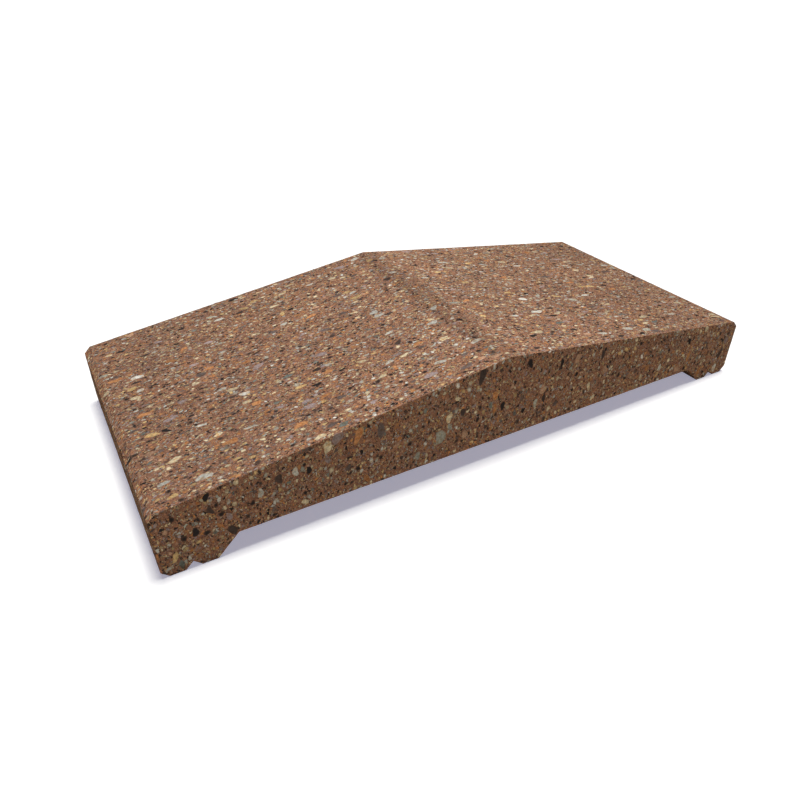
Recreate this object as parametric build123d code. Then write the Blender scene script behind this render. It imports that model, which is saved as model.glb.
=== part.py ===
from build123d import *
import os

# Two-way weathered coping block, cast in one piece, in millimetres.
# X runs across the wall, Y along the wall and the ridge, Z up.
# The origin is under the middle of the block, on the plane of the feet's undersides.

# Overall size
WIDTH = 450
LENGTH = 200
RIDGE_HEIGHT = 75

# Sides: the roof slopes end at the eaves, above a small chamfer and a short upright face
EAVES_HEIGHT = 45
CHAMFER = 4.5

# Feet: one along each long side, with a V-shaped drip groove in its underside
FOOT_WIDTH = 31.5
GROOVE_INSET = 13.5
GROOVE_WIDTH = 9
GROOVE_DEPTH = 4.5

# Soffit: the flat seat between the feet, reached by a sloping inner flank on each foot
SOFFIT_HEIGHT = 13.5
FLANK_RUN = 13.5

half_width = WIDTH / 2


def half_section():
    """Corners of the right half of the section, from the ridge down to the soffit."""
    eaves = [
        (half_width - CHAMFER, EAVES_HEIGHT),
        (half_width, EAVES_HEIGHT - CHAMFER),
    ]
    outer_foot = [
        (half_width, CHAMFER),
        (half_width - CHAMFER, 0),
    ]
    groove = [
        (half_width - GROOVE_INSET, 0),
        (half_width - GROOVE_INSET - GROOVE_WIDTH / 2, GROOVE_DEPTH),
        (half_width - GROOVE_INSET - GROOVE_WIDTH, 0),
    ]
    inner_foot = [
        (half_width - FOOT_WIDTH, 0),
        (half_width - FOOT_WIDTH - FLANK_RUN, SOFFIT_HEIGHT),
    ]
    return eaves + outer_foot + groove + inner_foot


def section():
    """Closed outline of the whole section: the right half, then its mirror image."""
    right = half_section()
    left = [(-x, z) for x, z in reversed(right)]
    return [(0, RIDGE_HEIGHT)] + right + left


def coping_block():
    """The section drawn in the XZ plane and extruded equally both ways along Y."""
    with BuildPart() as block:
        with BuildSketch(Plane.XZ):
            with BuildLine():
                Polyline(*section(), close=True)
            make_face()
        extrude(amount=LENGTH / 2, both=True)
    block.part.label = "coping_block"
    return block.part


os.makedirs("parts", exist_ok=True)
export_step(coping_block(), "parts/coping_block.step")
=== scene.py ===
import math
from collections import namedtuple

import bmesh
import bpy
import numpy as np
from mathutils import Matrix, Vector, noise
from mathutils.geometry import delaunay_2d_cdt


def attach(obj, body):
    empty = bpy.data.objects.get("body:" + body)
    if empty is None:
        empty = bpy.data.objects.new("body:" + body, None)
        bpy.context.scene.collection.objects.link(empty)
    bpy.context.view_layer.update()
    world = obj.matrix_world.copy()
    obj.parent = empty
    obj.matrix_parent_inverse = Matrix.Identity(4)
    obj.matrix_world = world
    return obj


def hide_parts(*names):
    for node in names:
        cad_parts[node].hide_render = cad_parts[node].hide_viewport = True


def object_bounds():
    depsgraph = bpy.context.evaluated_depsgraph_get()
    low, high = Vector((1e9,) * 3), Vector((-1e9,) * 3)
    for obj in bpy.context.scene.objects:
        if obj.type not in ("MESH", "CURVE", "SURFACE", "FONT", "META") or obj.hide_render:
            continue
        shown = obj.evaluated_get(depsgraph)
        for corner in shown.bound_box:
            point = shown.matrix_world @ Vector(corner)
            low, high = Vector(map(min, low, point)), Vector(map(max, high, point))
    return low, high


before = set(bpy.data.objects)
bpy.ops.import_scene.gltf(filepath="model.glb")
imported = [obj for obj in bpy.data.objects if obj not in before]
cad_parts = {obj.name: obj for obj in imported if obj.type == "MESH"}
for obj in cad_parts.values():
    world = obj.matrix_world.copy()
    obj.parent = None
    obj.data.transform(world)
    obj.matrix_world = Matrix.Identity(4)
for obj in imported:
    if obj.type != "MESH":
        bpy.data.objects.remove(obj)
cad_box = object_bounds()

MM = 0.001
LITRE = 0.001
NODE = "coping_block"
SLOT = "exposed_aggregate_concrete"
SEED = 11

# A pebble's cut on a face, and a layer of grains
Section = namedtuple("Section", "pebble middle around size whole")
GrainLayer = namedtuple("GrainLayer", "cell inset edge gap height palette")

# Facets of the solid that meet at less than this angle are one flat face
FLAT_ANGLE = math.radians(1)

# Z of a face's unit normal: nearer to 0 than this on upright faces, below this on undersides
UPRIGHT_LIMIT = 0.1
UNDERSIDE_LIMIT = -0.9

# The washed face: the matrix lies a little below the moulded face, which the tallest pebbles reach
RECESS = 0.20 * MM
MATRIX_SWELL = 0.07 * MM
MATRIX_SWELL_PITCH = 14 * MM
MATRIX_POINT_PITCH = 6.5 * MM
MATRIX_POINT_STRAY = 0.3

# Arrises: the points along them, how far wear takes them back, and the width of face that it reaches.
# The gap is the least between a pebble's point and an even one, as a share of the pitch.
ARRIS_PITCH = 2.2 * MM
ARRIS_GAP = 0.3
ARRIS_WEAR = 0.07 * MM
ARRIS_WEAR_CHANGE = 0.08 * MM
ARRIS_WEAR_PITCH = 5 * MM
ARRIS_BAND = 1.8 * MM
ARRIS_BAND_PITCH = 3.5 * MM

# The row of points where wear ends, and the nearest that a loose point may be to the arris, in band widths.
# Each point of the row lies somewhere between these shares of its own stretch.
BAND_ROW_INSET = 1.02
LOOSE_POINT_INSET = 1.5
BAND_ROW_STRAY = (0.2, 0.8)

# Pebbles: size classes as smallest and largest mean diameter, and number in a litre of mix
PEBBLE_CLASSES = (
    (5.5 * MM, 8.5 * MM, 430),
    (3.4 * MM, 5.5 * MM, 8500),
    (2.2 * MM, 3.4 * MM, 26000),
)

# The most that a pebble's three axes differ from its mean diameter, as a natural logarithm
PEBBLE_STRETCH = 0.42

# Over 1, the smaller sizes of a class are the more usual
SMALL_SIZE_BIAS = 1.6

# A pebble shows on a face only where its middle is nearer than this many diameters
FACE_REACH = 0.75

# The mould's walls leave out this share of the pebbles over a size
FEWER_BY_SIDES = 0.62
SMALL_BY_SIDES = 3.6 * MM

# The whole mix lies longest up and down and shortest along the wall
MIX_STRETCH = (1.10, 0.64, 1.38)

# Two pebbles' middles are at least this share of their diameters' sum apart.
# Smaller cuts than these are left out.
PEBBLE_SPACING = 0.50
SMALLEST_SECTION = 1.8 * MM
SMALLEST_BELOW = 3.2 * MM

# Pebble outlines: fewest and most sides, and how far each corner strays, as shares of a side's angle
# and of the radius. A side is about this long, and the oval is uneven by this share of its radius.
ANGULAR_SHARE = 0.65
ROUND_OUTLINE = (7, 16, 0.30, 0.12)
ANGULAR_OUTLINE = (4, 7, 0.60, 0.30)
OUTLINE_SIDE = 0.9 * MM
OVAL_UNEVENNESS = 0.16

# Pebble tops rise by these shares of the recess, and less below a size.
# A large one has a shoulder ring before its middle, at these shares of its size and rise.
TOP_RISE = (0.45, 1.0)
FULL_RISE_SIZE = 5 * MM
SHOULDERED = 4.2 * MM
SHOULDER_SIZE = 0.68
SHOULDER_RISE = 0.78

# Points closer than this are one point, and no pebble's outline passes an arris point closer than the gap
SAME_POINT = 0.01 * MM
CLEAR_GAP = 0.04 * MM

# Colours are linear. Each palette is a list of shares and colours.
PASTE_LIGHT = (0.330, 0.150, 0.082)
PASTE_DARK = (0.262, 0.127, 0.080)
# Painted shade in pits, in the gaps round grains and in the crevices round pebbles
PIT_SHADE_COLOUR = (0.055, 0.030, 0.022)
PEBBLE_COLOURS = (
    (1, (0.64, 0.61, 0.54)),
    (14, (0.59, 0.49, 0.32)),
    (12, (0.48, 0.46, 0.40)),
    (7, (0.35, 0.34, 0.28)),
    (8, (0.54, 0.37, 0.17)),
    (7, (0.44, 0.20, 0.08)),
    (8, (0.42, 0.25, 0.16)),
    (7, (0.30, 0.23, 0.22)),
    (6, (0.15, 0.165, 0.145)),
    (7, (0.12, 0.090, 0.080)),
    (14, (0.050, 0.034, 0.029)),
    (19, (0.012, 0.010, 0.011)),
)
GRAIN_COLOURS = (
    (20, (0.35, 0.156, 0.086)),
    (20, (0.25, 0.113, 0.067)),
    (14, (0.38, 0.215, 0.140)),
    (9, (0.47, 0.195, 0.062)),
    (13, (0.49, 0.36, 0.19)),
    (6, (0.33, 0.295, 0.25)),
    (5, (0.24, 0.175, 0.175)),
    (7, (0.080, 0.045, 0.033)),
    (9, (0.020, 0.014, 0.013)),
)

# How light a pebble or a grain may be beside its colour
PEBBLE_LIGHTNESS = (0.75, 1.25)
GRAIN_LIGHTNESS = (0.68, 1.38)

# The largest pebbles take their colours from the first part of the palette only: the dark ones are smaller
PALE_ONLY_SHARE = 0.75
PALE_ONLY_SIZES = (5.5 * MM, 7.5 * MM)

# Grain layers: cell size in millimetres, smallest and largest inset of a grain in its cell,
# width of its soft edge, width of the painted shade in the gap round it, height in the bump, and colours
GRAIN_LAYERS = (
    GrainLayer(0.85, (-0.15, 0.35), 0.10, 0.10, 0.25, GRAIN_COLOURS),
    GrainLayer(1.5, (-0.05, 0.60), 0.08, 0.07, 0.45, GRAIN_COLOURS),
    GrainLayer(2.3, (0.05, 0.85), 0.05, 0.05, 0.60, PEBBLE_COLOURS),
)
# How dark the painted shade in the gap round a grain is
GAP_SHADE_DEPTH = 0.7

# The grains are finer in the skin of the two ends, which is this deep
END_FINENESS = 1.3
END_SKIN = 0.8 * MM

# Noises: size of the lumps in millimetres, detail, and roughness
DRIFT_NOISE = (2.6, 1.0)
PATCH_NOISE = (45.0, 4.0, 0.6)
FINE_NOISE = (0.55, 4.0, 0.7)
# Painted shade: where the dark pits in the paste lie
PIT_SHADE_NOISE = (1.6, 2.0, 0.6)
MOTTLE_NOISE = (1.4, 4.0, 0.7)
STAIN_NOISE = (2.5, 2.0)
FILM_NOISE = (0.9, 3.0, 0.6)

# The grains' cells are pushed about by this many millimetres, so that none is straight-sided
DRIFT_REACH = 2.4

# Pebbles of different colours take their mottle from places this far apart, in millimetres
MOTTLE_SHIFT = 40.0

# The film of paste strays this far up and down a pebble's flank, as a share of its rise
FILM_STRAY = 0.20

# Spans: the range of a value, and what its two ends stand for where that isn't 0 and 1
PASTE_PATCH_SPAN = (0.3, 0.7)
PASTE_MOTTLE_SPAN = (0.2, 0.8, 0.68, 1.32)
# Painted shade in the pits of the paste
PIT_SHADE_SPAN = (0.60, 0.72, 0.0, 0.7)
MOTTLE_SPAN = (0.30, 0.70, 0.62, 1.32)
STAIN_SPAN = (0.50, 0.68, 0.0, 0.8)
BARE_SPAN = (-0.10, 0.12)
FILM_SPAN = (0.1, 0.7, 0.22, 0.0)
# Painted shade in the crevice round a pebble's rim
RIM_SHADE_SPAN = (0.0, 0.16, 0.5 * GAP_SHADE_DEPTH, 0.0)
ROOF_PATCH_SPAN = (0.3, 0.7, 0.93, 1.07)
ARRIS_PALE_SPAN = (0.3, 0.6, 0.1, 0.6)
MATRIX_ROUGHNESS_SPAN = (0.2, 0.8, 0.82, 0.96)
PEBBLE_ROUGHNESS_SPAN = (0.2, 0.8, 0.5, 0.75)

# Iron stains on the pebbles
STAIN_TINT = (0.92, 0.64, 0.40)

# Painted light and shade on the roof from its left eaves to its right, at distances from the ridge in
# millimetres:
# the right slope lighter than the left, palest beside the ridge, but for a painted shadow as a dark stripe
# along it
PAINTED_ROOF_LIGHT = (
    (-225, 0.99),
    (-120, 1.08),
    (-60, 1.15),
    (-10, 1.23),
    (-7, 0.94),
    (0, 0.94),
    (2, 1.05),
    (9, 1.02),
    (12, 1.27),
    (60, 1.24),
    (225, 0.99),
)
# Painted light on the chamfers, which face up, and painted shade on the upright sides
PAINTED_CHAMFER_LIGHT = 1.12
PAINTED_SIDE_SHADE = 0.80

# How far the normals of the roof and the chamfers point up at least, and those of the sides sideways
ROOF_LIMIT = 0.8
CHAMFER_LIMIT = 0.5
SIDE_LIMIT = 0.9

# Worn arrises are paler, and an even pale film lightens everything a little: partly dust, partly a painted
# sheen
ARRIS_TINT = (1.12, 1.08, 1.06)
DUST_AND_SHEEN = (0.0200, 0.0175, 0.0155)

# Bump: its full height, and the shares of it that the fine noise has on the matrix and on a pebble
BUMP_HEIGHT = 0.12 * MM
MATRIX_FINE_SHARE = 0.35
PEBBLE_FINE_SHARE = 0.3

# The washed concrete shows no highlight
SPECULAR_LEVEL = 0.0

# Stage, light and camera: lengths in metres, angles in degrees, and the lens in millimetres
FLOOR_SIZE = 24.0
FLOOR_COLOUR = (0.84, 0.79, 0.70)
FLOOR_SHADED_SHARE = (0.86, 0.86, 0.78)
FLOOR_GLOW = (0.32, 0.32, 0.40)
SUN_LEVEL = 3.05
SUN_WIDTH = 17.0
SUN_FROM = (0.11, 0.04, 1.0)
SKY_COLOUR = (1.0, 0.98, 0.95)
SKY_LEVEL = 0.05
CAMERA_LENS = 30.365
CAMERA_PLACE = (-0.23894, -0.37857, 0.28112)
CAMERA_TURN = (56.533, -0.399, -29.700)


def unit(vector):
    """The same direction with a length of one."""
    return vector / np.linalg.norm(vector)


def distances(points, starts, ends):
    """How far every point is from every segment, as a table."""
    along = ends - starts
    offset = points[:, None] - starts
    share = np.clip((offset * along).sum(-1) / (along ** 2).sum(-1), 0, 1)
    return np.linalg.norm(offset - share[..., None] * along, axis=-1)


def arris_of(a, b):
    """The name of the arris between two corners, whichever comes first."""
    return (a, b) if a < b else (b, a)


def cad_polygons(node):
    """The solid's corners, and its flat faces as rings of their numbers, counter-clockwise from outside."""
    solid = bmesh.new()
    solid.from_mesh(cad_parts[node].data)
    bmesh.ops.remove_doubles(solid, verts=solid.verts, dist=SAME_POINT)
    bmesh.ops.dissolve_limit(solid, angle_limit=FLAT_ANGLE, verts=solid.verts, edges=solid.edges)
    solid.verts.index_update()
    corners = np.array([v.co for v in solid.verts])
    rings = [[v.index for v in f.verts] for f in solid.faces]
    solid.free()
    return corners, rings


class FlatFace:
    """One flat face of the block, with axes of its own for work in its plane."""

    def __init__(self, corners, ring):
        self.sides = list(zip(ring, ring[1:] + ring[:1]))
        points = corners[ring]
        following = np.roll(points, -1, axis=0)
        self.origin = points[0]
        self.normal = unit(np.cross(points - points[0], following - points[0]).sum(0))
        longest = np.argmax(np.linalg.norm(following - points, axis=1))
        across = unit(following[longest] - points[longest])
        self.basis = np.stack([across, np.cross(self.normal, across)], 1)
        self.outline = self.flatten(points)
        self.outline_ends = np.roll(self.outline, -1, axis=0)
        self.low, self.high = self.outline.min(0), self.outline.max(0)

    def flatten(self, points):
        """Points of space as points in the plane."""
        return (points - self.origin) @ self.basis

    def raised(self, flat, height):
        """Points in the plane as points of space, at heights over the plane."""
        return self.origin + flat @ self.basis.T + height[:, None] * self.normal

    def holds(self, flat):
        """Which points in the plane are inside the outline."""
        x, y = flat[:, 0], flat[:, 1]
        inside = np.zeros(len(flat), bool)
        for (x0, y0), (x1, y1) in zip(self.outline, self.outline_ends):
            if y0 != y1:
                passes = (y0 > y) != (y1 > y)
                inside ^= passes & (x < (x1 - x0) * (y - y0) / (y1 - y0) + x0)
        return inside

    def from_outline(self, flat):
        """How far points in the plane are from the outline."""
        return distances(flat, self.outline, self.outline_ends).min(1)


class Pebbles:
    """The pebbles of the mix: ellipsoids that lie any way round, with random numbers for their colours."""

    def __init__(self, random, centres, diameters):
        count = len(diameters)
        self.centres = np.array(centres)
        stretch = random.uniform(-PEBBLE_STRETCH, PEBBLE_STRETCH, (count, 3))
        axes = 0.5 * np.array(diameters)[:, None] * np.exp(stretch - stretch.mean(1, keepdims=True))
        turns = np.linalg.qr(random.normal(size=(count, 3, 3)))[0]
        self.forms = (turns * axes[:, None, :] ** -2.0) @ turns.transpose(0, 2, 1)
        self.forms /= np.outer(MIX_STRETCH, MIX_STRETCH)
        self.angular = random.random(count) < ANGULAR_SHARE
        self.tints = random.random((count, 3))
        self.tints[:, 0] *= np.interp(diameters, PALE_ONLY_SIZES, (1, PALE_ONLY_SHARE))


def near_faces(centres, diameters, faces):
    """Which pebbles may show on a face."""
    near = np.zeros(len(centres), bool)
    for face in faces:
        flat = face.flatten(centres)
        reach = diameters[:, None]
        beside = ((flat > face.low - reach) & (flat < face.high + reach)).all(1)
        near |= beside & (np.abs((centres - face.origin) @ face.normal) < FACE_REACH * diameters)
    return near


def strew_pebbles(random, low, high, faces):
    """Strews pebbles through the mix, the largest first and none in another, and keeps those near a face."""
    cell = PEBBLE_CLASSES[0][1]
    around = [np.array((i, j, k)) for i in (-1, 0, 1) for j in (-1, 0, 1) for k in (-1, 0, 1)]
    upright = [face for face in faces if abs(face.normal[2]) < UPRIGHT_LIMIT]
    placed, centres, diameters = {}, [], []
    for smallest, largest, per_litre in PEBBLE_CLASSES:
        count = int(np.prod(high - low) / LITRE * per_litre)
        tried = low + random.random((count, 3)) * (high - low)
        sizes = smallest * (largest / smallest) ** (random.random(count) ** SMALL_SIZE_BIAS)
        crowded_out = (sizes > SMALL_BY_SIDES) & (random.random(count) < FEWER_BY_SIDES)
        near = near_faces(tried, sizes, faces) & ~(crowded_out & near_faces(tried, sizes, upright))
        for centre, size in zip(tried[near], sizes[near]):
            home = (centre // cell).astype(int)
            crowd = [p for step in around for p in placed.get(tuple(home + step), ())]
            spaces = [
                np.sum(((centre - other) / MIX_STRETCH) ** 2) - (PEBBLE_SPACING * (size + other_size)) ** 2
                for other, other_size in crowd
            ]
            if min(spaces, default=1) > 0:
                placed.setdefault(tuple(home), []).append((centre, size))
                centres.append(centre)
                diameters.append(size)
    return Pebbles(random, centres, diameters)


def cut_pebbles(face, pebbles):
    """The ellipses that a face's plane cuts from the pebbles: their owners, middles, radii and turns."""
    start = (face.origin - pebbles.centres)[:, :, None]
    inner = face.basis.T @ pebbles.forms @ face.basis
    slope = face.basis.T @ pebbles.forms @ start
    middles = -np.linalg.solve(inner, slope)
    depth = start.transpose(0, 2, 1) @ pebbles.forms @ start + slope.transpose(0, 2, 1) @ middles
    level = 1 - depth[:, 0, 0]
    widths, turns = np.linalg.eigh(inner)
    turns[:, :, 1] *= np.linalg.det(turns)[:, None]
    radii = np.sqrt(np.maximum(level, 0)[:, None] / widths)
    middles = middles[:, :, 0]
    smallest = SMALLEST_BELOW if face.normal[2] < UNDERSIDE_LIMIT else SMALLEST_SECTION
    reach = radii.max(1)[:, None]
    beside = ((middles > face.low - reach) & (middles < face.high + reach)).all(1)
    shown = np.flatnonzero(beside & (2 * np.sqrt(radii.prod(1)) > smallest))
    return zip(shown, middles[shown], radii[shown], turns[shown])


def outline_round(random, radii, turn, angular):
    """An uneven oval of these radii round the origin, as a ring of points, counter-clockwise."""
    fewest, most, turn_stray, reach_stray = ANGULAR_OUTLINE if angular else ROUND_OUTLINE
    size = 2 * math.sqrt(radii.prod())
    sides = int(np.clip(math.pi * size / OUTLINE_SIDE, fewest, most))
    stray = random.uniform(-0.5, 0.5, (2, sides))
    second, third = random.uniform(0, 2 * math.pi, 2)
    angle = second + 2 * math.pi * (np.arange(sides) + turn_stray * stray[0]) / sides
    reach = 1 + OVAL_UNEVENNESS * (np.cos(2 * angle) + np.cos(3 * angle + third)) + reach_stray * stray[1]
    return (np.stack([np.cos(angle), np.sin(angle)], -1) * reach[:, None] * radii) @ turn.T


def grazes(face, middle, around):
    """Whether a pebble's rings have a point on the face's outline, or pass through one of its corners."""
    for ring in (middle + around, middle + SHOULDER_SIZE * around):
        if face.from_outline(ring).min() < CLEAR_GAP:
            return True
        if distances(face.outline, ring, np.roll(ring, -1, axis=0)).min() < CLEAR_GAP:
            return True
    return face.from_outline(middle[None])[0] < CLEAR_GAP


def sections_on(random, face, pebbles):
    """The pebble sections that a face shows."""
    sections = []
    for number, middle, radii, turn in cut_pebbles(face, pebbles):
        around = outline_round(random, radii, turn, pebbles.angular[number])
        reach = np.linalg.norm(around, axis=1).max()
        whole = face.from_outline(middle[None])[0] > reach
        if not face.holds(middle + around).any() or (not whole and grazes(face, middle, around)):
            continue
        sections.append(Section(number, middle, around, 2 * math.sqrt(radii.prod()), whole))
    return sections


def crossings(face, ring):
    """Where a ring crosses the face's outline, as (side, share of that side)."""
    found = []
    step = np.roll(ring, -1, axis=0) - ring
    for side, (start, end) in enumerate(zip(face.outline, face.outline_ends)):
        along, offset = end - start, ring - start
        cross = along[0] * step[:, 1] - along[1] * step[:, 0]
        with np.errstate(divide="ignore", invalid="ignore"):
            share = (offset[:, 0] * step[:, 1] - offset[:, 1] * step[:, 0]) / cross
            ring_share = (offset[:, 0] * along[1] - offset[:, 1] * along[0]) / cross
        hit = (share > 0) & (share < 1) & (ring_share >= 0) & (ring_share <= 1)
        found += [(side, s) for s in share[hit]]
    return found


def mark_arrises(corners, faces, shown):
    """Shares along every arris where it has a point: where pebbles cross it, and evenly between."""
    crossed = {arris_of(a, b): [] for face in faces for a, b in face.sides}
    for face, sections in zip(faces, shown):
        for section in sections:
            if section.whole:
                continue
            for scale in (1, SHOULDER_SIZE):
                for side, share in crossings(face, section.middle + scale * section.around):
                    a, b = face.sides[side]
                    crossed[arris_of(a, b)].append(share if a < b else 1 - share)
    marks = {}
    for (a, b), shares in crossed.items():
        length = np.linalg.norm(corners[a] - corners[b])
        kept = []
        for share in sorted(shares):
            if not kept or (share - kept[-1]) * length > SAME_POINT:
                kept.append(share)
        steps = max(1, round(length / ARRIS_PITCH))
        apart = ARRIS_GAP * ARRIS_PITCH / length
        even = [i / steps for i in range(1, steps)]
        marks[(a, b)] = sorted(kept + [e for e in even if all(abs(e - k) > apart for k in kept)])
    return marks


def wear_at(point):
    """How far wear takes back the arris at a point."""
    return max(0.0, ARRIS_WEAR + ARRIS_WEAR_CHANGE * noise.noise(Vector(point / ARRIS_WEAR_PITCH)))


def swell_at(point):
    """The matrix's own unevenness at a point."""
    return MATRIX_SWELL * noise.noise(Vector(point / MATRIX_SWELL_PITCH))


class Surface:
    """The block's surface as it grows: its points and triangles, what they belong to, and its arrises."""

    def __init__(self):
        self.points = []
        self.rises = []
        self.wears = []
        self.triangles = []
        self.owners = []
        self.arrises = []

    def add_points(self, points, rises, wears):
        """Adds points and returns their numbers."""
        first = len(self.points)
        self.points += list(points)
        self.rises += list(rises)
        self.wears += list(wears)
        return range(first, len(self.points))

    def drop_loose_points(self):
        """Forgets the points of pebbles that lie past a face's outline."""
        used, numbers = np.unique(np.array(self.triangles), return_inverse=True)
        renamed = np.full(len(self.points), -1)
        renamed[used] = np.arange(len(used))
        self.points = np.array(self.points)[used]
        self.rises = np.array(self.rises)[used]
        self.wears = np.array(self.wears)[used]
        self.triangles = numbers.reshape(-1, 3)
        self.arrises = renamed[np.array(self.arrises)]


def add_arrises(surface, corners, faces, marks):
    """Adds the points on corners and arrises, which the faces there share. Returns their numbers."""
    meeting = {}
    for face in faces:
        for a, b in face.sides:
            meeting.setdefault(a, []).append(face.normal)
            meeting.setdefault(arris_of(a, b), []).append(face.normal)

    def sunk(point, normals):
        depth = np.full(len(normals), -RECESS)
        inward = np.linalg.lstsq(np.array(normals), depth, rcond=None)[0]
        return point + inward - unit(np.sum(normals, axis=0)) * wear_at(point)

    def add(points, normals):
        count = len(points)
        return surface.add_points([sunk(p, normals) for p in points], [0] * count, [1] * count)

    at_corner = {c: add([corners[c]], meeting[c])[0] for c in range(len(corners))}
    on_arris = {}
    for (a, b), shares in marks.items():
        line = [corners[a] + (corners[b] - corners[a]) * share for share in shares]
        on_arris[(a, b)] = list(add(line, meeting[(a, b)]))
    return at_corner, on_arris


def marked_outline(face, corners, marks, at_corner, on_arris):
    """The face's outline with every arris point, in the plane, and the numbers of those points."""
    flat, numbers = [], []
    for a, b in face.sides:
        key = arris_of(a, b)
        shares, points = marks[key], on_arris[key]
        if a > b:
            shares, points = [1 - s for s in reversed(shares)], points[::-1]
        flat += [face.flatten(corners[a] + (corners[b] - corners[a]) * share) for share in [0, *shares]]
        numbers += [at_corner[a], *points]
    return flat, numbers


def clear_of_pebbles(points, sections):
    """The points that no pebble covers."""
    clear = np.ones(len(points), bool)
    for section in sections:
        reach = np.linalg.norm(section.around, axis=1).max() + CLEAR_GAP
        clear &= ((points - section.middle) ** 2).sum(1) > reach ** 2
    return points[clear]


def matrix_points(random, face, sections):
    """Loose points on the matrix between the pebbles, and a row along the outline where wear ends."""
    steps = np.maximum(1, np.ceil((face.high - face.low) / MATRIX_POINT_PITCH).astype(int))
    grid = np.stack(np.meshgrid(*map(np.arange, steps), indexing="ij"), -1).reshape(-1, 2)
    stray = random.uniform(-MATRIX_POINT_STRAY, MATRIX_POINT_STRAY, grid.shape)
    inner = face.low + (grid + 0.5 + stray) * (face.high - face.low) / steps
    inner = inner[face.holds(inner)]
    inner = inner[face.from_outline(inner) > LOOSE_POINT_INSET * ARRIS_BAND]
    rows = []
    for start, end in zip(face.outline, face.outline_ends):
        along = unit(end - start)
        count = max(1, round(np.linalg.norm(end - start) / ARRIS_BAND_PITCH))
        share = (np.arange(count) + random.uniform(*BAND_ROW_STRAY, count)) / count
        inward = np.array([-along[1], along[0]]) * BAND_ROW_INSET * ARRIS_BAND
        rows.append(start + share[:, None] * (end - start) + inward)
    border = np.concatenate(rows)
    border = border[face.holds(border)]
    border = border[face.from_outline(border) > ARRIS_BAND]
    return clear_of_pebbles(np.concatenate([inner, border]), sections)


def add_face(surface, random, face, sections, outline, numbers):
    """Triangulates one face round its pebbles and raises the pebbles out of the matrix."""
    places = list(outline)
    known = list(numbers)
    rises = [0.0] * len(places)
    tops = [0.0] * len(places)
    rings = [range(len(places))]
    owners = [-1]

    def add(points, rise, top):
        places.extend(points)
        known.extend([None] * len(points))
        rises.extend([rise] * len(points))
        tops.extend([top] * len(points))
        return range(len(places) - len(points), len(places))

    for section in sections:
        fullness = math.sqrt(min(1.0, section.size / FULL_RISE_SIZE))
        top = RECESS * random.uniform(*TOP_RISE) * fullness
        rings.append(add(section.middle + section.around, 0.0, 0.0))
        owners.append(section.pebble)
        if section.size > SHOULDERED:
            shoulder = section.middle + SHOULDER_SIZE * section.around
            rings.append(add(shoulder, SHOULDER_RISE, SHOULDER_RISE * top))
            owners.append(section.pebble)
        if face.holds(section.middle[None])[0]:
            add([section.middle], 1.0, top)
    add(matrix_points(random, face, sections), 0.0, 0.0)

    found = delaunay_2d_cdt([Vector(p) for p in places], [], [list(r) for r in rings], 0, SAME_POINT, True)
    flat, _, triangles, point_sources, _, ring_sources = found
    flat = np.array(flat)
    rise = np.array([max((rises[s] for s in sources), default=0.0) for sources in point_sources])
    top = np.array([max((tops[s] for s in sources), default=0.0) for sources in point_sources])
    on_plane = face.raised(flat, np.zeros(len(flat)))
    swell = np.array([0.0 if t else swell_at(p) for p, t in zip(on_plane, top)])
    wear = np.clip(1 - face.from_outline(flat) / ARRIS_BAND, 0, 1)
    added = surface.add_points(face.raised(flat, top + swell - RECESS), rise, wear)
    names = []
    for number, sources in zip(added, point_sources):
        shared = [known[s] for s in sources if known[s] is not None]
        names.append(shared[0] if shared else number)
    # Ring 0 is the face's own outline, so triangles without it lie outside the face
    for triangle, sources in zip(triangles, ring_sources):
        if 0 in sources:
            surface.triangles.append([names[i] for i in triangle])
            surface.owners.append(max(owners[s] for s in sources))
    surface.arrises += list(zip(numbers, numbers[1:] + numbers[:1]))


def build_surface():
    """The whole block as one closed surface, and the pebbles that it shows."""
    random = np.random.default_rng(SEED)
    corners, rings = cad_polygons(NODE)
    faces = [FlatFace(corners, ring) for ring in rings]
    margin = PEBBLE_CLASSES[0][1] / 2
    pebbles = strew_pebbles(random, corners.min(0) - margin, corners.max(0) + margin, faces)
    shown = [sections_on(random, face, pebbles) for face in faces]
    marks = mark_arrises(corners, faces, shown)
    surface = Surface()
    at_corner, on_arris = add_arrises(surface, corners, faces, marks)
    for face, sections in zip(faces, shown):
        outline, numbers = marked_outline(face, corners, marks, at_corner, on_arris)
        add_face(surface, random, face, sections, outline, numbers)
    surface.drop_loose_points()
    return surface, pebbles


def add_attribute(mesh, name, kind, domain, values):
    """Stores a value for every point, edge or triangle, which the material or the shading reads."""
    stored = mesh.attributes.new(name, kind, domain)
    field = "vector" if kind == "FLOAT_VECTOR" else "value"
    stored.data.foreach_set(field, np.ascontiguousarray(values).ravel())


def mesh_from(surface, pebbles):
    """A mesh of the surface, smooth but for its arrises."""
    mesh = bpy.data.meshes.new(NODE + "_face")
    mesh.from_pydata(surface.points, [], surface.triangles)
    mesh.shade_smooth()
    ends = np.empty(2 * len(mesh.edges), np.int32)
    mesh.edges.foreach_get("vertices", ends)
    count = len(surface.points)
    edges = np.sort(ends.reshape(-1, 2), axis=1) @ (count, 1)
    arrises = np.sort(surface.arrises, axis=1) @ (count, 1)
    # The matrix's owner is -1, so the last row is its own
    owners = np.array(surface.owners)
    tints = np.concatenate([pebbles.tints, [(0, 0, 0)]])
    add_attribute(mesh, "sharp_edge", "BOOLEAN", "EDGE", np.isin(edges, arrises))
    add_attribute(mesh, "is_pebble", "FLOAT", "FACE", (owners >= 0).astype(np.float32))
    add_attribute(mesh, "pebble_tint", "FLOAT_VECTOR", "FACE", tints[owners].astype(np.float32))
    add_attribute(mesh, "pebble_rise", "FLOAT", "POINT", surface.rises.astype(np.float32))
    add_attribute(mesh, "arris_wear", "FLOAT", "POINT", surface.wears.astype(np.float32))
    return mesh


def colour(value):
    """A colour with its alpha. A node's output stays as it is."""
    return value if isinstance(value, bpy.types.NodeSocket) else (*value, 1.0)


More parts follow.
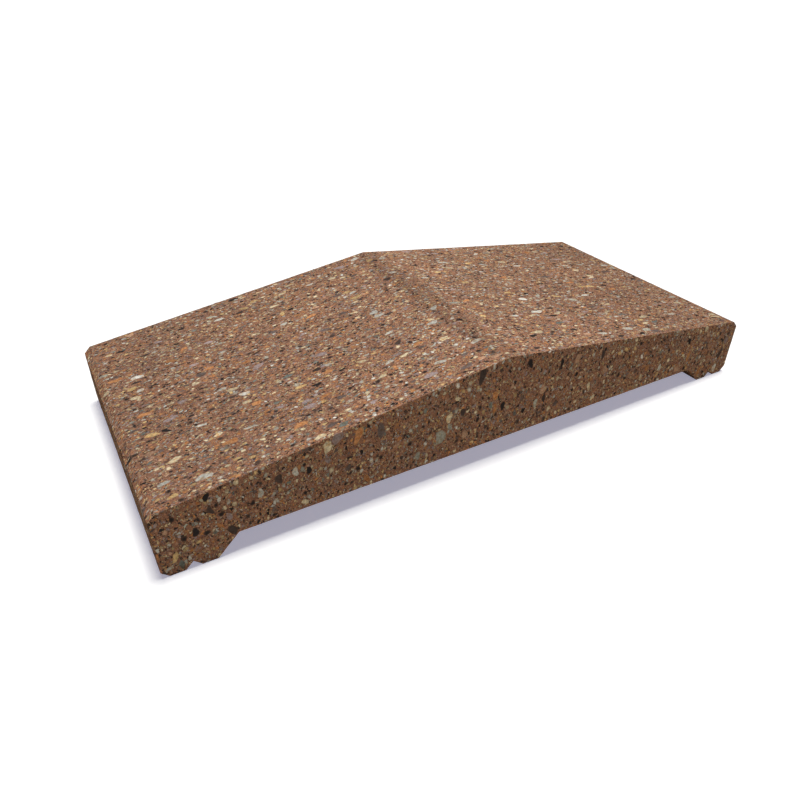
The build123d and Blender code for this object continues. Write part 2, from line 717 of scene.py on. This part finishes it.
class Nodes:
    """Short ways to add nodes to a tree. Any input takes a plain value or another node's output."""

    def __init__(self, tree):
        self.tree = tree
        tree.nodes.clear()

    def feed(self, socket, value):
        """Links a node's output to a socket, or sets the socket to a plain value."""
        if isinstance(value, bpy.types.NodeSocket):
            self.tree.links.new(value, socket)
        else:
            socket.default_value = value

    def add(self, kind, inputs=None, **settings):
        """A node with these settings, and with inputs fed by name or number."""
        node = self.tree.nodes.new(kind)
        for name, value in settings.items():
            setattr(node, name, value)
        for key, value in (inputs or {}).items():
            self.feed(node.inputs[key], value)
        return node

    def math(self, operation, *values):
        """One calculation with numbers."""
        return self.add("ShaderNodeMath", dict(enumerate(values)), operation=operation).outputs[0]

    def vector(self, operation, *values):
        """One calculation with vectors or colours, part by part."""
        return self.add("ShaderNodeVectorMath", dict(enumerate(values)), operation=operation).outputs[0]

    def scaled(self, vector, factor):
        """A vector or colour times a number."""
        return self.add("ShaderNodeVectorMath", {0: vector, "Scale": factor}, operation="SCALE").outputs[0]

    def between(self, share, low, high):
        """The number that is this share of the way between two plain numbers."""
        return self.math("MULTIPLY_ADD", share, high - low, low)

    def mix(self, share, first, second):
        """Two colours mixed by a share. Sockets 6 and 7 and output 2 are the node's own for colours."""
        inputs = {0: share, 6: colour(first), 7: colour(second)}
        return self.add("ShaderNodeMix", inputs, data_type="RGBA").outputs[2]

    def mix_numbers(self, share, first, second):
        """Two numbers mixed by a share. Sockets 2 and 3 and output 0 are the node's own for numbers."""
        return self.add("ShaderNodeMix", {0: share, 2: first, 3: second}).outputs[0]

    def span(self, value, low, high, to_low=0.0, to_high=1.0):
        """A value's smooth way from one end of a range to the other, as a way through another range."""
        inputs = dict(enumerate((value, low, high, to_low, to_high)))
        return self.add("ShaderNodeMapRange", inputs, interpolation_type="SMOOTHSTEP").outputs[0]

    def noise(self, place, size, detail, roughness=0.5, output="Fac"):
        """Noise whose lumps are about this size in millimetres."""
        inputs = {"Vector": place, "Scale": 1 / size, "Detail": detail, "Roughness": roughness}
        return self.add("ShaderNodeTexNoise", inputs).outputs[output]

    def ramp(self, value, stops, interpolation):
        """A ramp's colour at a value. Its stops are places from 0 to 1 and colours."""
        node = self.add("ShaderNodeValToRGB", {0: value})
        ramp = node.color_ramp
        ramp.interpolation = interpolation
        ramp.elements.remove(ramp.elements[-1])
        for number, (place, shade) in enumerate(stops):
            stop = ramp.elements[0] if number == 0 else ramp.elements.new(place)
            stop.position = place
            stop.color = colour(shade)
        return node.outputs[0]

    def pick(self, value, palette):
        """One colour of a palette, chosen by an even random value from 0 to 1 and the colours' shares."""
        shares = [share for share, _ in palette]
        starts = [sum(shares[:number]) / sum(shares) for number in range(len(palette))]
        return self.ramp(value, zip(starts, [shade for _, shade in palette]), "CONSTANT")


def attribute(nodes, name, output="Fac"):
    """What the mesh stores under a name."""
    return nodes.add("ShaderNodeAttribute", attribute_name=name).outputs[output]


def grain_place(nodes, here):
    """A place as the grains' cells see it: pushed about, stretched like the mix, finer in the ends' skin."""
    drift = nodes.vector("SUBTRACT", nodes.noise(here, *DRIFT_NOISE, output="Color"), (0.5,) * 3)
    warped = nodes.vector("ADD", here, nodes.scaled(drift, DRIFT_REACH))
    stretched = nodes.vector("DIVIDE", warped, MIX_STRETCH)
    along = nodes.math("ABSOLUTE", nodes.add("ShaderNodeSeparateXYZ", {0: here}).outputs[1])
    end_skin = nodes.math("GREATER_THAN", along, (cad_box[1][1] - END_SKIN) / MM)
    return nodes.scaled(stretched, nodes.between(end_skin, 1.0, END_FINENESS))


def add_grains(nodes, body, place, layer):
    """Lays grains over the body's colour, one to a cell at most, with painted shade in a gap round each.
    Returns the colour and the grains' cover.
    """
    inputs = {"Vector": place, "Scale": 1 / layer.cell, "Randomness": 1.0}
    nearest = nodes.add("ShaderNodeTexVoronoi", inputs, feature="F1")
    rim = nodes.add("ShaderNodeTexVoronoi", inputs, feature="DISTANCE_TO_EDGE")
    chance = nodes.add("ShaderNodeTexWhiteNoise", {"Vector": nearest.outputs["Position"]})
    size, lightness, pick = nodes.add("ShaderNodeSeparateColor", {0: chance.outputs["Color"]}).outputs
    inside = nodes.math("SUBTRACT", rim.outputs["Distance"], nodes.between(size, *layer.inset))
    shade = nodes.scaled(nodes.pick(pick, layer.palette), nodes.between(lightness, *GRAIN_LIGHTNESS))
    cover = nodes.span(inside, 0.0, layer.edge)
    shaded_round = nodes.mix(nodes.span(inside, -layer.gap, 0.0, 0.0, GAP_SHADE_DEPTH), body, PIT_SHADE_COLOUR)
    return nodes.mix(cover, shaded_round, shade), cover


def matrix_look(nodes, here, paste, fine):
    """The matrix's colour, with its grains and the painted shade of its pits and of the gaps round its
    grains, and its height in the bump.
    """
    body = nodes.mix(nodes.span(nodes.noise(here, *PIT_SHADE_NOISE), *PIT_SHADE_SPAN), paste, PIT_SHADE_COLOUR)
    relief = nodes.math("MULTIPLY", fine, MATRIX_FINE_SHARE)
    place = grain_place(nodes, here)
    for layer in GRAIN_LAYERS:
        body, cover = add_grains(nodes, body, place, layer)
        relief = nodes.math("MULTIPLY_ADD", cover, layer.height, relief)
    return body, relief


def pebble_look(nodes, here, paste):
    """The pebbles' colour, with painted shade in the crevice round each rim, and how far a place is pebble
    and not matrix.
    """
    tint = nodes.add("ShaderNodeSeparateXYZ", {0: attribute(nodes, "pebble_tint", "Vector")}).outputs
    shade = nodes.pick(tint[0], PEBBLE_COLOURS)
    mottle = nodes.noise(nodes.vector("ADD", here, nodes.scaled(shade, MOTTLE_SHIFT)), *MOTTLE_NOISE)
    lightness = nodes.between(tint[1], *PEBBLE_LIGHTNESS)
    stone = nodes.scaled(shade, nodes.math("MULTIPLY", lightness, nodes.span(mottle, *MOTTLE_SPAN)))
    stained = nodes.span(nodes.noise(here, *STAIN_NOISE), *STAIN_SPAN)
    stone = nodes.mix(stained, stone, nodes.vector("MULTIPLY", stone, STAIN_TINT))
    stray = nodes.between(nodes.noise(here, *FILM_NOISE), -FILM_STRAY, FILM_STRAY)
    rise = nodes.math("ADD", attribute(nodes, "pebble_rise"), stray)
    bare = nodes.math("MULTIPLY", attribute(nodes, "is_pebble"), nodes.span(rise, *BARE_SPAN))
    filmed = nodes.mix(nodes.span(rise, *FILM_SPAN), stone, paste)
    return nodes.mix(nodes.span(rise, *RIM_SHADE_SPAN), filmed, PIT_SHADE_COLOUR), bare


def painted_light_tone(nodes, patch):
    """Painted light and shade: how much lighter or darker than the mix a place is, for how light falls on the
    roof, chamfers and sides, with random patches on the roof.
    """
    normal = nodes.add("ShaderNodeNewGeometry").outputs["True Normal"]
    sideways, _, upwards = nodes.add("ShaderNodeSeparateXYZ", {0: normal}).outputs
    place = nodes.add("ShaderNodeSeparateXYZ", {0: nodes.add("ShaderNodeTexCoord").outputs["Object"]})
    left, right = PAINTED_ROOF_LIGHT[0][0], PAINTED_ROOF_LIGHT[-1][0]
    across = nodes.add("ShaderNodeMapRange", {0: place.outputs[0], 1: left * MM, 2: right * MM}).outputs[0]
    stops = [((aside - left) / (right - left), (tone,) * 3) for aside, tone in PAINTED_ROOF_LIGHT]
    roof_tone = nodes.scaled(nodes.ramp(across, stops, "LINEAR"), nodes.span(patch, *ROOF_PATCH_SPAN))
    on_side = nodes.math("GREATER_THAN", nodes.math("ABSOLUTE", sideways), SIDE_LIMIT)
    on_chamfer = nodes.math("GREATER_THAN", upwards, CHAMFER_LIMIT)
    on_roof = nodes.math("GREATER_THAN", upwards, ROOF_LIMIT)
    tone = nodes.mix(on_side, (1, 1, 1), (PAINTED_SIDE_SHADE,) * 3)
    tone = nodes.mix(on_chamfer, tone, (PAINTED_CHAMFER_LIGHT,) * 3)
    return nodes.mix(on_roof, tone, roof_tone)


def build_material():
    """Exposed-aggregate concrete: pebbles and finer grains of many colours in a reddish brown matrix."""
    material = bpy.data.materials.new(SLOT)
    material.use_nodes = True
    nodes = Nodes(material.node_tree)
    here = nodes.scaled(nodes.add("ShaderNodeTexCoord").outputs["Object"], 1 / MM)
    patch = nodes.noise(here, *PATCH_NOISE)
    fine = nodes.noise(here, *FINE_NOISE)
    paste = nodes.mix(nodes.span(patch, *PASTE_PATCH_SPAN), PASTE_DARK, PASTE_LIGHT)
    paste = nodes.scaled(paste, nodes.span(fine, *PASTE_MOTTLE_SPAN))
    body, relief = matrix_look(nodes, here, paste, fine)
    stone, bare = pebble_look(nodes, here, paste)

    # Painted light and shade for how the light falls on each face
    shade = nodes.vector("MULTIPLY", nodes.mix(bare, body, stone), painted_light_tone(nodes, patch))
    pale = nodes.math("MULTIPLY", attribute(nodes, "arris_wear"), nodes.span(patch, *ARRIS_PALE_SPAN))
    shade = nodes.mix(pale, shade, nodes.vector("MULTIPLY", shade, ARRIS_TINT))
    rough = nodes.span(fine, *MATRIX_ROUGHNESS_SPAN)
    smooth = nodes.span(fine, *PEBBLE_ROUGHNESS_SPAN)
    relief = nodes.mix_numbers(bare, relief, nodes.math("MULTIPLY", fine, PEBBLE_FINE_SHARE))
    bump = nodes.add("ShaderNodeBump", {"Strength": 1.0, "Distance": BUMP_HEIGHT, "Height": relief})
    shader = nodes.add(
        "ShaderNodeBsdfPrincipled",
        {
            "Base Color": nodes.vector("ADD", shade, DUST_AND_SHEEN),
            "Roughness": nodes.mix_numbers(bare, rough, smooth),
            "Specular IOR Level": SPECULAR_LEVEL,
            "Normal": bump.outputs[0],
        },
    )
    nodes.add("ShaderNodeOutputMaterial", {"Surface": shader.outputs[0]})
    return material


def build_block(material):
    """The block's visible surface, in place of the plain solid."""
    surface, pebbles = build_surface()
    mesh = mesh_from(surface, pebbles)
    mesh.materials.append(material)
    block = bpy.data.objects.new(NODE + "_face", mesh)
    bpy.context.scene.collection.objects.link(block)
    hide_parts(NODE)
    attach(block, "root")


def shown_white(nodes, lit, plain):
    """A mix of two shaders: plain where the camera, a mirror or glass looks, and lit elsewhere."""
    path = nodes.add("ShaderNodeLightPath")
    seen = path.outputs["Is Camera Ray"]
    for ray in ("Is Glossy Ray", "Is Transmission Ray"):
        seen = nodes.math("MAXIMUM", seen, path.outputs[ray])
    return nodes.add("ShaderNodeMixShader", {0: seen, 1: lit, 2: plain}).outputs[0]


def build_floor():
    """A plain pale floor, which shows white outside the block's shadow."""
    half = FLOOR_SIZE / 2
    mesh = bpy.data.meshes.new("floor")
    corners = [(-half, -half, 0), (half, -half, 0), (half, half, 0), (-half, half, 0)]
    mesh.from_pydata(corners, [], [(0, 1, 2, 3)])
    floor = bpy.data.objects.new("floor", mesh)
    bpy.context.scene.collection.objects.link(floor)
    material = bpy.data.materials.new("floor")
    material.use_nodes = True
    nodes = Nodes(material.node_tree)
    lit = nodes.add("ShaderNodeBsdfDiffuse", {0: colour(FLOOR_COLOUR)}).outputs[0]
    shaded = nodes.add("ShaderNodeBsdfDiffuse", {0: colour(FLOOR_SHADED_SHARE)}).outputs[0]
    glow = nodes.add("ShaderNodeEmission", {0: colour(FLOOR_GLOW), 1: 1.0}).outputs[0]
    plain = nodes.add("ShaderNodeAddShader", {0: shaded, 1: glow}).outputs[0]
    nodes.add("ShaderNodeOutputMaterial", {"Surface": shown_white(nodes, lit, plain)})
    mesh.materials.append(material)


def build_light():
    """One soft sun over the block, and a faint even sky that shows as white."""
    sun = bpy.data.lights.new("sun", "SUN")
    sun.energy = SUN_LEVEL
    sun.angle = math.radians(SUN_WIDTH)
    over = bpy.data.objects.new("sun", sun)
    over.rotation_euler = Vector(SUN_FROM).to_track_quat("Z", "Y").to_euler()
    bpy.context.scene.collection.objects.link(over)
    world = bpy.data.worlds.new("sky")
    world.use_nodes = True
    nodes = Nodes(world.node_tree)
    lit = nodes.add("ShaderNodeBackground", {0: colour(SKY_COLOUR), 1: SKY_LEVEL}).outputs[0]
    plain = nodes.add("ShaderNodeBackground", {0: colour((1, 1, 1)), 1: 1.0}).outputs[0]
    nodes.add("ShaderNodeOutputWorld", {0: shown_white(nodes, lit, plain)})
    bpy.context.scene.world = world


def build_camera():
    """The photograph's view of the block, from its left and a little above."""
    lens = bpy.data.cameras.new("camera")
    lens.lens = CAMERA_LENS
    camera = bpy.data.objects.new("camera", lens)
    camera.location = CAMERA_PLACE
    camera.rotation_euler = [math.radians(a) for a in CAMERA_TURN]
    bpy.context.scene.collection.objects.link(camera)
    bpy.context.scene.camera = camera


build_block(build_material())
build_floor()
build_light()
build_camera()
bpy.context.scene.view_settings.view_transform = "Standard"
